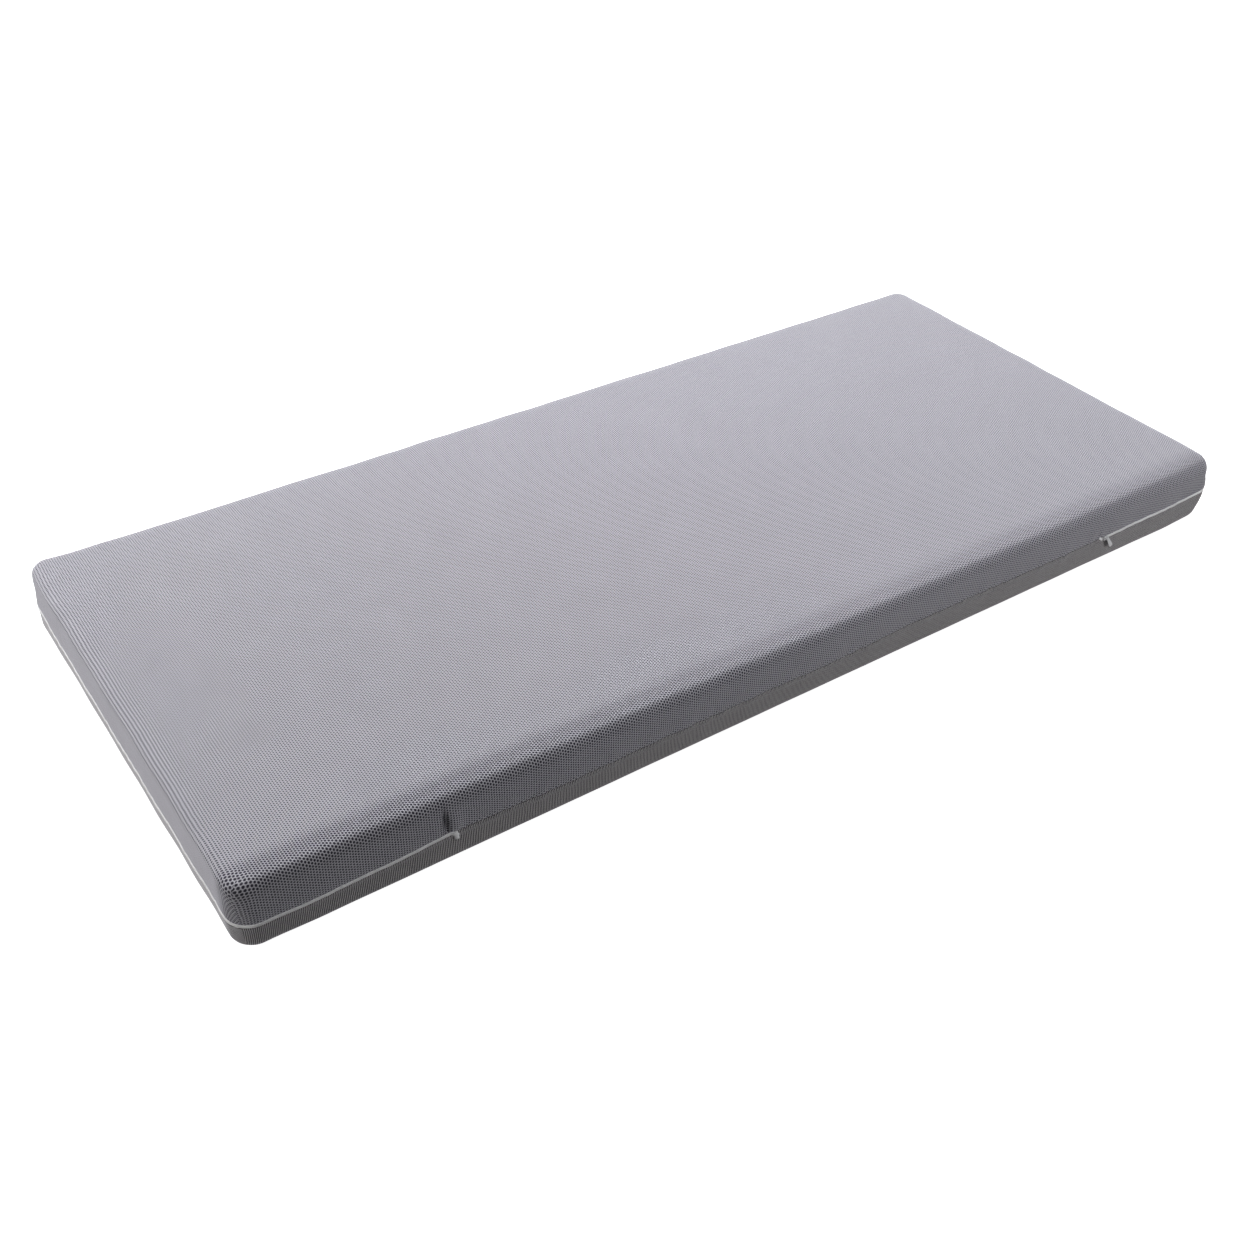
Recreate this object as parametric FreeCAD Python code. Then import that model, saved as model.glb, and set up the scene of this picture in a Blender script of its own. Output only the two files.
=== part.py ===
import FreeCAD, Part
import math
import os

# Single memory foam mattress with a two-shell zip-off cover.
# Millimetres, +Z up. X runs along the length and the front long side faces -Y.
# The origin is the middle of the underside. "Depth" is measured inwards from the cover's outer wall.

# --- the whole mattress ---
LENGTH = 2000.0
WIDTH = 895.0
THICKNESS = 130.0
PLAN_CORNER_R = 39.0
TOP_EDGE_R = 24.0
BOTTOM_EDGE_R = 17.0

# --- layers, from the outside in ---
COVER_THICK = 2.5
FOAM_DEPTH = 4.5
FOAM_FLOOR_GAP = 0.2
FOAM_ROOF_GAP = 0.5
MEMORY_FOAM_THICK = 40.0

# --- the joint line between the two shells of the cover ---
SEAM_Z = 58.0
SEAM_LEFT_X = -672.0
SEAM_RIGHT_X = 690.0
ZIP_WINDOW = 4.5
FOLD_Z = 70.0
FOLD_RETURN = 52.0
FOLD_GAP = 0.3

# --- zip chain ---
TAPE_DEPTH = 2.6
TAPE_THICK = 0.4
TAPE_INNER_EDGE = 0.9
TAPE_OUTER_EDGE = 11.7
COIL_DEPTH = 0.9
COIL_INNER_EDGE = 1.0
COIL_OUTER_EDGE = 2.2

# --- slider and puller ---
SLIDER_START = 3.0
SLIDER_LENGTH = 11.0
SLIDER_HALF_HEIGHT = 4.4
SLIDER_OUT_NEAR = -0.4
SLIDER_OUT_FAR = -1.5
SLIDER_IN_NEAR = 3.2
SLIDER_IN_FAR = 4.1
SLIDER_CORNER_R = 1.4
WEDGE_LENGTH = 2.5
WEDGE_HALF = 0.7
BRIDGE_FOOT_X = 2.8
BRIDGE_FOOT_LENGTH = 1.2
BRIDGE_WIDTH = 1.8
BRIDGE_BAR_NEAR = -3.1
BRIDGE_BAR_FAR = -4.1
PULLER_NEAR = -1.9
PULLER_FAR = -2.8
PULLER_LENGTH = 30.0
PULLER_EYE_R = 1.9
PULLER_EYE_RIM_R = 3.4
PULLER_NECK = 4.4
PULLER_TIP = 8.0
PULLER_DROOP = 55.0

# --- small sewn pieces ---
ALLOWANCE_DEPTH = 2.6
FRONT_ALLOWANCE_THICK = 1.6
FRONT_ALLOWANCE_DROP = 10.0
CORNER_ALLOWANCE_THICK = 0.8
CORNER_ALLOWANCE_WIDTH = 12.0
TOP_CORNER_SEAM_Z = (71.0, 95.0)
BOTTOM_CORNER_SEAM_Z = (20.0, 45.0)
THREAD_HALF = 0.4
THREAD_PROUD = 0.6
SURFACE_GAP = 0.05
TAIL_GAP = 0.1
TAIL_THICK = 0.6
STOP_LENGTH = 1.8
STOP_DEPTH = 0.4

FRONT_Y = -WIDTH / 2
CLEAR = 20.0


def box(x, y, z):
    """A box from three (low, high) pairs."""
    size = [high - low for low, high in (x, y, z)]
    return Part.makeBox(*size, FreeCAD.Vector(x[0], y[0], z[0]))


def edges_at(shape, keep):
    """The edges of which every corner passes keep."""
    return [e for e in shape.Edges if all(keep(v.Point) for v in e.Vertexes)]


def prism(depth, z):
    """An upright block with the mattress's rounded plan, drawn in by depth."""
    half_x, half_y = LENGTH / 2 - depth, WIDTH / 2 - depth
    block = box((-half_x, half_x), (-half_y, half_y), z)
    upright = [e for e in block.Edges if abs(e.tangentAt(e.FirstParameter).z) > 0.9]
    return block.makeFillet(PLAN_CORNER_R - depth, upright)


def rounded_block(depth, z):
    """A prism with its top and bottom edges rounded as well."""
    low, high = z
    block = prism(depth, z)
    top = edges_at(block, lambda p: abs(p.z - high) < 1e-6)
    block = block.makeFillet(TOP_EDGE_R - depth, top)
    bottom = edges_at(block, lambda p: abs(p.z - low) < 1e-6)
    return block.makeFillet(BOTTOM_EDGE_R - depth, bottom)


def wall_band(depth, thick, z):
    """A band of even thickness that follows the plan outline."""
    return prism(depth, z).cut(prism(depth + thick, (z[0] - 1, z[1] + 1)))


def level(z):
    """Everything between two heights."""
    return box((-LENGTH, LENGTH), (-WIDTH, WIDTH), z)


def seam_stretch():
    """The middle of the front, where the shells are sewn and there is no zip."""
    return box((SEAM_LEFT_X, SEAM_RIGHT_X), (FRONT_Y - CLEAR, FRONT_Y + CLEAR), (0, THICKNESS))


def front_region(gap=0.0):
    """The front wall and its two corners, which stay put when the cover is folded open."""
    return box((-LENGTH, LENGTH), (FRONT_Y - CLEAR, FRONT_Y + FOLD_RETURN + gap), (0, FOLD_Z + gap))


def zip_run(depth, thick, z):
    """A band that follows the zip: round the ends and the back, and absent along the front seam."""
    return wall_band(depth, thick, z).cut(seam_stretch())


def front_and_rear(band):
    """Splits an upper band where the folding part of the cover starts."""
    return band.common(front_region()), band.cut(front_region(FOLD_GAP))


def foam_layers():
    """Memory foam on top, bonded to the firmer support foam below it."""
    low = COVER_THICK + FOAM_FLOOR_GAP
    high = THICKNESS - COVER_THICK - FOAM_ROOF_GAP
    block = rounded_block(FOAM_DEPTH, (low, high))
    bond = high - MEMORY_FOAM_THICK
    return {
        "memory_foam_layer": block.common(level((bond, THICKNESS))),
        "support_foam_layer": block.common(level((0, bond))),
    }


def cover_shells():
    """The upper shell, the strip of it below the front fold, and the lower shell."""
    outside = rounded_block(0, (0, THICKNESS))
    inside = rounded_block(COVER_THICK, (COVER_THICK, THICKNESS - COVER_THICK))
    window = zip_run(0, COVER_THICK + 1, (SEAM_Z - ZIP_WINDOW / 2, SEAM_Z + ZIP_WINDOW / 2))
    cloth = outside.cut(inside).cut(window)
    upper = cloth.common(level((SEAM_Z, THICKNESS + 1)))
    return {
        "cover_top": upper.cut(front_region(FOLD_GAP)),
        "cover_top_fold_strip": upper.common(front_region()),
        "cover_bottom": cloth.common(level((-1, SEAM_Z))),
    }


def zip_chain():
    """Both tapes with their coils, each upper one split at the fold."""
    upper_tape = zip_run(TAPE_DEPTH, TAPE_THICK, (SEAM_Z + TAPE_INNER_EDGE, SEAM_Z + TAPE_OUTER_EDGE))
    lower_tape = zip_run(TAPE_DEPTH, TAPE_THICK, (SEAM_Z - TAPE_OUTER_EDGE, SEAM_Z - TAPE_INNER_EDGE))
    coil_thick = TAPE_DEPTH - COIL_DEPTH
    upper_coil = zip_run(COIL_DEPTH, coil_thick, (SEAM_Z + COIL_INNER_EDGE, SEAM_Z + COIL_OUTER_EDGE))
    lower_coil = zip_run(COIL_DEPTH, coil_thick, (SEAM_Z - COIL_OUTER_EDGE, SEAM_Z - COIL_INNER_EDGE))
    tape_front, tape_rear = front_and_rear(upper_tape)
    coil_front, coil_rear = front_and_rear(upper_coil)
    return {
        "zip_tape_upper_front": tape_front,
        "zip_tape_upper_rear": tape_rear,
        "zip_tape_lower": lower_tape,
        "zip_coil_upper_front": coil_front,
        "zip_coil_upper_rear": coil_rear,
        "zip_coil_lower": lower_coil,
    }


def zip_stop(x, upper, lower):
    """A clamp over the ends of the coils, open towards the tape."""
    z = (SEAM_Z - (COIL_OUTER_EDGE if lower else -TAPE_INNER_EDGE),
         SEAM_Z + (COIL_OUTER_EDGE if upper else -TAPE_INNER_EDGE))
    y = (FRONT_Y + STOP_DEPTH, FRONT_Y + COIL_DEPTH)
    return box((x, x + STOP_LENGTH), y, z)


def zip_stops():
    """Two small clamps where the slider parks, and one across both coils at the far end."""
    parked = [zip_stop(SEAM_RIGHT_X + 0.5, True, False), zip_stop(SEAM_RIGHT_X + 0.5, False, True)]
    return {
        "zip_top_stops": Part.makeCompound(parked),
        "zip_bottom_stop": zip_stop(SEAM_LEFT_X - 0.5 - STOP_LENGTH, True, True),
    }


def flat_tab(points):
    """A thin tab lying on the outside of the cover, from its outline in X and Z."""
    y = FRONT_Y - TAIL_GAP
    corners = [FreeCAD.Vector(x, y, z) for x, z in points]
    face = Part.Face(Part.makePolygon(corners + corners[:1]))
    return face.extrude(FreeCAD.Vector(0, -TAIL_THICK, 0))


def tape_tails():
    """The ends of the zip tape, which come out of the seam and lie on the lower shell."""
    left, right = SEAM_LEFT_X, SEAM_RIGHT_X
    return {
        "zip_tape_tail_left": flat_tab([
            (left - 1, SEAM_Z), (left + 9, SEAM_Z), (left + 11, SEAM_Z - 14), (left + 3, SEAM_Z - 12)]),
        "zip_tape_tail_right": flat_tab([
            (right - 8, SEAM_Z + 5), (right + 1, SEAM_Z), (right - 1, SEAM_Z - 4), (right - 9, SEAM_Z + 2)]),
    }


def front_seam():
    """The turned-in edges of the sewn seam, and the thread that shows in its groove."""
    x = (SEAM_LEFT_X + 1, SEAM_RIGHT_X - 1)
    inside = FRONT_Y + ALLOWANCE_DEPTH
    thread_x = (SEAM_LEFT_X + 13, SEAM_RIGHT_X - 11)
    return {
        "front_seam_allowance": box(
            x, (inside, inside + FRONT_ALLOWANCE_THICK), (SEAM_Z - FRONT_ALLOWANCE_DROP, SEAM_Z)),
        "front_seam_thread": box(
            thread_x, (FRONT_Y - THREAD_PROUD, FRONT_Y - SURFACE_GAP),
            (SEAM_Z - THREAD_HALF, SEAM_Z + THREAD_HALF)),
    }


def corner_seams(z):
    """The sewn edge inside each of the four corners, between two heights."""
    band = wall_band(ALLOWANCE_DEPTH, CORNER_ALLOWANCE_THICK, z)
    half = CORNER_ALLOWANCE_WIDTH / 2
    reach = PLAN_CORNER_R
    strips = []
    for side_x in (-1, 1):
        for side_y in (-1, 1):
            centre = FreeCAD.Vector(side_x * (LENGTH / 2 - reach), side_y * (WIDTH / 2 - reach), 0)
            slice_box = box((0, 2 * reach), (-half, half), z)
            slice_box.rotate(FreeCAD.Vector(), FreeCAD.Vector(0, 0, 1),
                             math.degrees(math.atan2(side_y, side_x)))
            slice_box.translate(centre)
            strips.append(band.common(slice_box).Solids[0])
    return Part.makeCompound(strips)


def slider_plate(x, y):
    """One of the slider's two plates, with rounded corners."""
    plate = box(x, y, (SEAM_Z - SLIDER_HALF_HEIGHT, SEAM_Z + SLIDER_HALF_HEIGHT))
    across = [e for e in plate.Edges if abs(e.tangentAt(e.FirstParameter).y) > 0.9]
    return plate.makeFillet(SLIDER_CORNER_R, across)


def slider():
    """The slider: two plates joined by the wedge that parts the coils, and the bridge for the puller."""
    start = SEAM_RIGHT_X + SLIDER_START
    x = (start, start + SLIDER_LENGTH)
    outer = slider_plate(x, (FRONT_Y + SLIDER_OUT_FAR, FRONT_Y + SLIDER_OUT_NEAR))
    inner = slider_plate(x, (FRONT_Y + SLIDER_IN_NEAR, FRONT_Y + SLIDER_IN_FAR))
    wedge = box((start, start + WEDGE_LENGTH),
                (FRONT_Y + SLIDER_OUT_NEAR - 0.1, FRONT_Y + SLIDER_IN_NEAR + 0.1),
                (SEAM_Z - WEDGE_HALF, SEAM_Z + WEDGE_HALF))
    middle = start + SLIDER_LENGTH / 2
    z = (SEAM_Z - BRIDGE_WIDTH / 2, SEAM_Z + BRIDGE_WIDTH / 2)
    half_foot = BRIDGE_FOOT_LENGTH / 2
    reach = BRIDGE_FOOT_X + half_foot
    bridge = box((middle - reach, middle + reach),
                 (FRONT_Y + BRIDGE_BAR_FAR, FRONT_Y + BRIDGE_BAR_NEAR), z)
    for side in (-1, 1):
        foot_x = middle + side * BRIDGE_FOOT_X
        bridge = bridge.fuse(box((foot_x - half_foot, foot_x + half_foot),
                                 (FRONT_Y + BRIDGE_BAR_NEAR, FRONT_Y + SLIDER_OUT_FAR), z))
    return {
        "zip_slider_body": outer.fuse([inner, wedge]),
        "zip_slider_bridge": bridge.removeSplitter(),
    }, middle + BRIDGE_FOOT_X


def puller(eye_x):
    """The flat puller, hung by its eye on one foot of the bridge."""
    thick = PULLER_NEAR - PULLER_FAR
    across = FreeCAD.Vector(0, 1, 0)
    base = FreeCAD.Vector(0, FRONT_Y + PULLER_FAR, 0)
    rim = Part.makeCylinder(PULLER_EYE_RIM_R, thick, base, across)
    hole = Part.makeCylinder(PULLER_EYE_R, thick + 2, base - across, across)
    tip_x = PULLER_LENGTH - PULLER_TIP / 2
    outline = [(0, -PULLER_NECK / 2), (tip_x, -PULLER_TIP / 2), (tip_x, PULLER_TIP / 2), (0, PULLER_NECK / 2)]
    corners = [FreeCAD.Vector(x, base.y, z) for x, z in outline]
    tab = Part.Face(Part.makePolygon(corners + corners[:1])).extrude(across * thick)
    tip = Part.makeCylinder(PULLER_TIP / 2, thick, base + FreeCAD.Vector(tip_x, 0, 0), across)
    shape = rim.fuse([tab, tip]).cut(hole).removeSplitter()
    shape.rotate(FreeCAD.Vector(), across, PULLER_DROOP)
    shape.translate(FreeCAD.Vector(eye_x, 0, SEAM_Z))
    return shape


def all_nodes():
    nodes = foam_layers()
    nodes.update(cover_shells())
    nodes.update(zip_chain())
    nodes.update(zip_stops())
    nodes.update(tape_tails())
    nodes.update(front_seam())
    nodes["corner_seam_allowances_top"] = corner_seams(TOP_CORNER_SEAM_Z)
    nodes["corner_seam_allowances_bottom"] = corner_seams(BOTTOM_CORNER_SEAM_Z)
    slider_nodes, eye_x = slider()
    nodes.update(slider_nodes)
    nodes["zip_puller"] = puller(eye_x)
    return nodes


os.makedirs("parts", exist_ok=True)
for name, shape in all_nodes().items():
    shape.exportStep(f"parts/{name}.step")
    size = shape.BoundBox
    print(f"{name}: {len(shape.Solids)} solid(s), valid {shape.isValid()}, {shape.Volume / 1000:.2f} cm3, "
          f"z {size.ZMin:.2f} to {size.ZMax:.2f}")
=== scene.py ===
import bpy
import math

import numpy as np
from mathutils import Matrix, Vector


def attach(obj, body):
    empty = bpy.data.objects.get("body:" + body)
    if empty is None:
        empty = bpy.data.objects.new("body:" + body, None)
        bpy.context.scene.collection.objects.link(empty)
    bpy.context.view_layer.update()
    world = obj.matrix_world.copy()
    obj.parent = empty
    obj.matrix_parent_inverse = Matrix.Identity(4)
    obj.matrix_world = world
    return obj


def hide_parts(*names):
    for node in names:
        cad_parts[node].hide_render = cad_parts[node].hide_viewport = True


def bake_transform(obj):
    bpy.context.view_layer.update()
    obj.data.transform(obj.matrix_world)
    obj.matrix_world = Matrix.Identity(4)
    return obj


# Single memory foam mattress in a zip-off mesh cover. Metres, +Z up, front long side towards -Y.
# "Depth" is measured inwards from the outer wall, and "s" is the distance round the outline at
# full size, anticlockwise from the left end of the straight part of the front.

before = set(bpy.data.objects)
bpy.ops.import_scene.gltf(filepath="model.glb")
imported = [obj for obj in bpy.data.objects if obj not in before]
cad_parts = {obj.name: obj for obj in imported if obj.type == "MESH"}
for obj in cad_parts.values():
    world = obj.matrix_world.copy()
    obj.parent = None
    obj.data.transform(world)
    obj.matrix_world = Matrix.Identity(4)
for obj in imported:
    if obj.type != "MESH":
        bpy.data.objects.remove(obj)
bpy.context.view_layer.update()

MM = 0.001

# --- the whole mattress ---
LENGTH, WIDTH, THICKNESS = 2.0, 0.895, 0.130
PLAN_R = 0.039
TOP_R, BOTTOM_R = 0.034, 0.017
HALF_X, HALF_Y = LENGTH / 2 - PLAN_R, WIDTH / 2 - PLAN_R
CROWN = 0.0012

# --- the near left corner turns squarer in plan between two heights; a power of 2 is a plain round ---
CORNER_POWER = 3.1
CORNER_POINT_HEIGHTS = (0.062, 0.102)

# --- the line where the two shells meet ---
SEAM_Z = 0.058
SEAM_LEFT_X, SEAM_RIGHT_X = -0.672, 0.690
SEWN_FADE = 0.009
ZIP_END_GAP = 0.001

# --- layers ---
CLOTH_THICK = 0.0012
FOAM_DEPTH = 0.0045
FOAM_LOW, FOAM_BOND, FOAM_HIGH = 0.0027, 0.087, 0.1270
FOAM_TOP_R, FOAM_BOTTOM_R, FOAM_BOND_R = TOP_R - FOAM_DEPTH, BOTTOM_R - FOAM_DEPTH, 0.002
FOAM_CROWN = 0.0008
BOND_GAP = 0.0002
UPPER_CORNER_SEAM, LOWER_CORNER_SEAM = (0.071, 0.095), (0.020, 0.045)

# --- mesh spacing ---
STEP = 0.010
FINE_STEP = 0.0017
FINE_LEFT = (SEAM_LEFT_X - 0.040, SEAM_LEFT_X + 0.035)
FINE_RIGHT = (SEAM_RIGHT_X - 0.030, SEAM_RIGHT_X + 0.030)
CORNER_STEPS = 18
ARC_STEPS, BOTTOM_STEPS = 9, 6
FOAM_TOP_STEPS, FOAM_BOTTOM_STEPS = 7, 5

# --- the fabric's hole pattern ---
HOLE_PITCH = 0.00418
RIB_PITCH = 0.0027
HOLE_SIZE, RIB_HOLE_SIZE = (0.325, 0.305), (0.25, 0.55)

ARC = math.pi / 2 * PLAN_R
SIDES = (2 * HALF_X, 2 * HALF_Y, 2 * HALF_X, 2 * HALF_Y)
PERIMETER = sum(SIDES) + 4 * ARC
SIDE_START = [sum(SIDES[:k]) + k * ARC for k in range(4)]
CORNERS = np.array([(-HALF_X, -HALF_Y), (HALF_X, -HALF_Y), (HALF_X, HALF_Y), (-HALF_X, HALF_Y)])


def on_front(x):
    return SIDE_START[0] + HALF_X + x


def on_right(y):
    return SIDE_START[1] + HALF_Y + y


def on_back(x):
    return SIDE_START[2] + HALF_X - x


def on_left(y):
    return SIDE_START[3] + HALF_Y - y


def smooth(t):
    """Smoothstep of t, held to 0..1."""
    t = np.clip(t, 0, 1)
    return t * t * (3 - 2 * t)


def fade(value, start, end):
    """0 at start and 1 at end, smoothly in between. start may be the larger one."""
    return smooth((value - start) / (end - start))


def bump_at(value, centre, width):
    """A bell, 1 high at centre."""
    return np.exp(-0.5 * ((value - centre) / width) ** 2)


def outline(s):
    """The point of the inner rectangle that belongs to distance s, and the outward direction there."""
    s = np.mod(np.asarray(s, float), PERIMETER)
    anchor = np.zeros(s.shape + (2,))
    angle = np.zeros(s.shape)
    for k in range(4):
        along = s - SIDE_START[k]
        end = (k + 1) % 4
        side = (along >= 0) & (along <= SIDES[k])
        t = np.clip(along / SIDES[k], 0, 1)[..., None]
        anchor = np.where(side[..., None], CORNERS[k] * (1 - t) + CORNERS[end] * t, anchor)
        angle = np.where(side, (k - 1) * math.pi / 2, angle)
        turn = (along > SIDES[k]) & (along < SIDES[k] + ARC)
        anchor = np.where(turn[..., None], CORNERS[end], anchor)
        angle = np.where(turn, (k - 1) * math.pi / 2 + (along - SIDES[k]) / PLAN_R, angle)
    return anchor, np.stack([np.cos(angle), np.sin(angle)], -1)


def loop_curve(keys, blur, unit=MM):
    """A smooth function of s from a few (s, value) pairs, softened over blur metres. A value is
    in millimetres, unless unit says otherwise."""
    step = 0.002
    at = np.arange(0, PERIMETER, step)
    keys = sorted((s % PERIMETER, v * unit) for s, v in keys)
    values = np.interp(at, [s for s, _ in keys], [v for _, v in keys], period=PERIMETER)
    reach = int(3 * blur / step)
    weights = {k: math.exp(-0.5 * (k * step / blur) ** 2) for k in range(-reach, reach + 1)}
    soft = sum(w * np.roll(values, k) for k, w in weights.items()) / sum(weights.values())
    return lambda s: np.interp(np.mod(s, PERIMETER), at, soft, period=PERIMETER)


WAVE_GAIN = 1.6


def ripples(seed, count, shortest, longest, slant):
    """A random wave round the outline, about -1 to 1, with wavelengths from shortest to longest.
    It drifts with height by up to slant turns a metre."""
    rng = np.random.default_rng(seed)
    cycles = np.round(PERIMETER / np.exp(rng.uniform(math.log(shortest), math.log(longest), count)))
    phase, lean = rng.uniform(0, 2 * math.pi, count), rng.uniform(-slant, slant, count)
    size = WAVE_GAIN / math.sqrt(count)

    def wave(s, z):
        return size * sum(np.sin(2 * math.pi * (c * s / PERIMETER + slope * z) + p)
                          for c, p, slope in zip(cycles, phase, lean))
    return wave


# The meeting line wanders up and down round the mattress.
zip_lift = loop_curve([
    (on_front(-0.955), -7.0), (on_front(-0.91), -8.5), (on_front(-0.86), -7.5),
    (on_front(-0.77), -5.0), (on_front(-0.69), -0.5), (on_front(-0.66), 0.0),
    (on_front(-0.50), -4.0), (on_front(-0.33), -3.0), (on_front(-0.08), -2.0),
    (on_front(0.03), -4.0), (on_front(0.20), 2.0), (on_front(0.45), 1.0),
    (on_front(0.66), 0.0), (on_front(0.72), 0.3), (on_front(0.82), 1.5), (on_front(0.90), 2.8),
    (on_front(0.955), 6.0), (on_right(-0.40), 11.0), (on_right(-0.25), 6.0), (on_right(0.1), 0.0),
    (on_back(0.9), 1.0), (on_back(0.0), -1.0), (on_back(-0.9), 1.0),
    (on_left(0.38), -6.0), (on_left(0.0), -7.5), (on_left(-0.30), -8.0), (on_left(-0.41), -6.5),
], 0.012)

# The zip draws the cloth in, most of all round the corners.
waist = loop_curve([
    (on_front(-0.96), 0.8), (on_front(-0.80), 0.8), (on_front(0.60), 0.8),
    (on_front(0.88), 0.6), (on_front(0.955), 0.0), (on_right(-0.41), 0.0),
    (on_right(-0.25), 2.0), (on_right(0.30), 3.0), (on_right(0.42), 5.0),
    (on_back(0.80), 3.0), (on_back(-0.80), 1.0), (on_left(0.42), -1.0),
    (on_left(0.25), -1.8), (on_left(-0.30), -1.8), (on_left(-0.41), -1.0),
], 0.010)

# The lower shell is cut a little smaller than the upper one.
lower_tuck = loop_curve([
    (on_front(-0.95), 1.5), (on_front(-0.85), 3.0), (on_front(0.00), 4.0), (on_front(0.60), 3.8),
    (on_front(0.88), 3.0), (on_front(0.955), 0.5), (on_right(-0.41), -0.5), (on_right(-0.20), 2.5),
    (on_right(0.30), 4.0), (on_back(0.0), 4.0), (on_back(-0.90), 0.5), (on_left(0.41), 0.5),
    (on_left(0.30), 2.6), (on_left(-0.38), 2.4),
], 0.020)

# The upper shell is rounder at the right front and back left corners.
shoulder = loop_curve([
    (on_front(0.93), 0.0), (on_front(HALF_X) + ARC / 2, 5.5), (on_right(-0.37), 0.0),
    (on_back(-0.86), 0.0), (on_back(-0.955), 5.0), (on_left(0.43), 3.5), (on_left(0.37), 0.0),
], 0.010)

# The lower shell is rounder underneath at the front corners.
heel = loop_curve([
    (on_left(-0.39), 0.0), (on_left(-HALF_Y) + ARC / 2, 1.5), (on_front(-0.95), 3.0),
    (on_front(-0.88), 0.0), (on_front(0.89), 0.0), (on_front(HALF_X) + ARC / 2, 9.0),
    (on_right(-0.36), 0.0),
], 0.012)

# How square the top edge is in section: a power of 2 is a plain round. The front and left are squarest.
edge_power = loop_curve([
    (on_front(-0.95), 6.5), (on_front(-0.70), 6.0), (on_front(0.0), 5.0), (on_front(0.70), 3.6),
    (on_right(-0.40), 2.3), (on_right(0.40), 2.2), (on_back(0.90), 2.1), (on_back(-0.86), 2.1),
    (on_back(-0.95), 2.8), (on_left(0.40), 5.6), (on_left(0.30), 6.5), (on_left(-0.40), 7.0),
], 0.020, unit=1)

wall_wave = ripples(11, 9, 0.12, 0.55, 1.5)
seam_wave = ripples(12, 14, 0.022, 0.075, 5.0)
edge_wave = ripples(13, 9, 0.09, 0.42, 0.0)
WALL_WAVE, SEAM_WAVE, EDGE_WAVE = 0.35, 0.55, 0.3 * MM
UPPER_SWELL = 0.6

# --- the heights between which each shape grows from nothing to full ---
WAIST_HEIGHTS = (-0.007, 0.013)
LOWER_TUCK_HEIGHTS = (SEAM_Z - 0.0045, SEAM_Z - 0.0135)
SHOULDER_HEIGHTS = (SEAM_Z + 0.004, SEAM_Z + 0.034)
HEEL_HEIGHTS = (0.045, 0.005)
SWELL_LOW_HEIGHTS, SWELL_HIGH_HEIGHTS = (SEAM_Z + 0.006, SEAM_Z + 0.022), (THICKNESS, THICKNESS - 0.050)
FOOT_HEIGHTS = (0.0, 0.012)
LIFT_LOW_HEIGHTS, LIFT_HIGH_HEIGHTS = (0.012, 0.046), (0.112, 0.066)
EDGE_WAVE_HEIGHTS, EDGE_WAVE_DEPTHS = (0.105, 0.125), (0.036, 0.016)
WAIST_POWER = 1.7
SEAM_WAVE_REACH, SEAM_WAVE_BY_ZIP = 0.014, 0.35

# Puckers beside the ends of the sewn seam, up (1) or down (-1) from it. Each has its height in millimetres,
# its x at the seam, its lean, its width, and how far off it is full, has ended, and fades before its end.
PUCKERS = [
    (1, -5.5, SEAM_LEFT_X - 0.007, 0.10, 0.0028, 0.012, 0.060, 0.030),
    (1, 3.2, SEAM_LEFT_X + 0.006, 0.10, 0.0075, 0.010, 0.055, 0.030),
    (1, 1.2, SEAM_LEFT_X - 0.020, 0.10, 0.0080, 0.010, 0.050, 0.030),
    (1, -1.6, SEAM_RIGHT_X - 0.006, 0.35, 0.0030, 0.005, 0.026, 0.014),
    (-1, -1.2, SEAM_LEFT_X + 0.002, 0.00, 0.0035, 0.003, 0.020, 0.012),
]


def sewn(s):
    """1 along the sewn middle of the front, 0 where the zip runs."""
    x = np.mod(s, PERIMETER) - HALF_X
    return smooth((x - SEAM_LEFT_X) / SEWN_FADE) * smooth((SEAM_RIGHT_X - x) / SEWN_FADE)


def rise_and_fall(height, start, top, ending):
    """0 below 0, 1 after start, and back to 0 at top over ending."""
    return smooth(height / start) * smooth((top - height) / ending)


def seam_end_puckers(s, z):
    """How far the cloth stands out beside the two ends of the sewn seam."""
    x = np.mod(s, PERIMETER) - HALF_X
    out = 0
    for way, height, centre, lean, width, start, top, ending in PUCKERS:
        away = way * (z - SEAM_Z)
        across = bump_at(x, centre - lean * away, width)
        out = out + height * across * rise_and_fall(away, start, top, ending)
    return out * MM


def corner_point(s, z):
    """How many times further the upper shell reaches round the near left corner, where the foam's
    corner shows."""
    turn = np.clip((np.mod(s, PERIMETER) - SIDE_START[3] - SIDES[3]) / PLAN_R, 0, math.pi / 2)
    grow = (np.cos(turn) ** CORNER_POWER + np.sin(turn) ** CORNER_POWER) ** (-1 / CORNER_POWER)
    return 1 + (grow - 1) * fade(z, *CORNER_POINT_HEIGHTS)


def squared(s, depth, z):
    """The round top edge drawn out towards a squarer one."""
    inward = np.clip(1 - depth / TOP_R, 0, None)
    upward = np.clip((z - THICKNESS) / TOP_R + 1, 0, None)
    angle, power = np.arctan2(upward, inward), edge_power(s)
    grow = (np.cos(angle) ** power + np.sin(angle) ** power) ** (-1 / power) - 1
    return depth - TOP_R * inward * grow, z + TOP_R * upward * grow


def tucked(s, z):
    """How far the cloth is drawn in at the waist, below the zip and at the rounder corners."""
    wall_top = THICKNESS - TOP_R
    near = np.clip((wall_top - z) / (wall_top - SEAM_Z), 0, 1) ** WAIST_POWER
    return (waist(s) * near * fade(z, *WAIST_HEIGHTS) + lower_tuck(s) * fade(z, *LOWER_TUCK_HEIGHTS)
            + shoulder(s) * fade(z, *SHOULDER_HEIGHTS) + heel(s) * fade(z, *HEEL_HEIGHTS))


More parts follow.
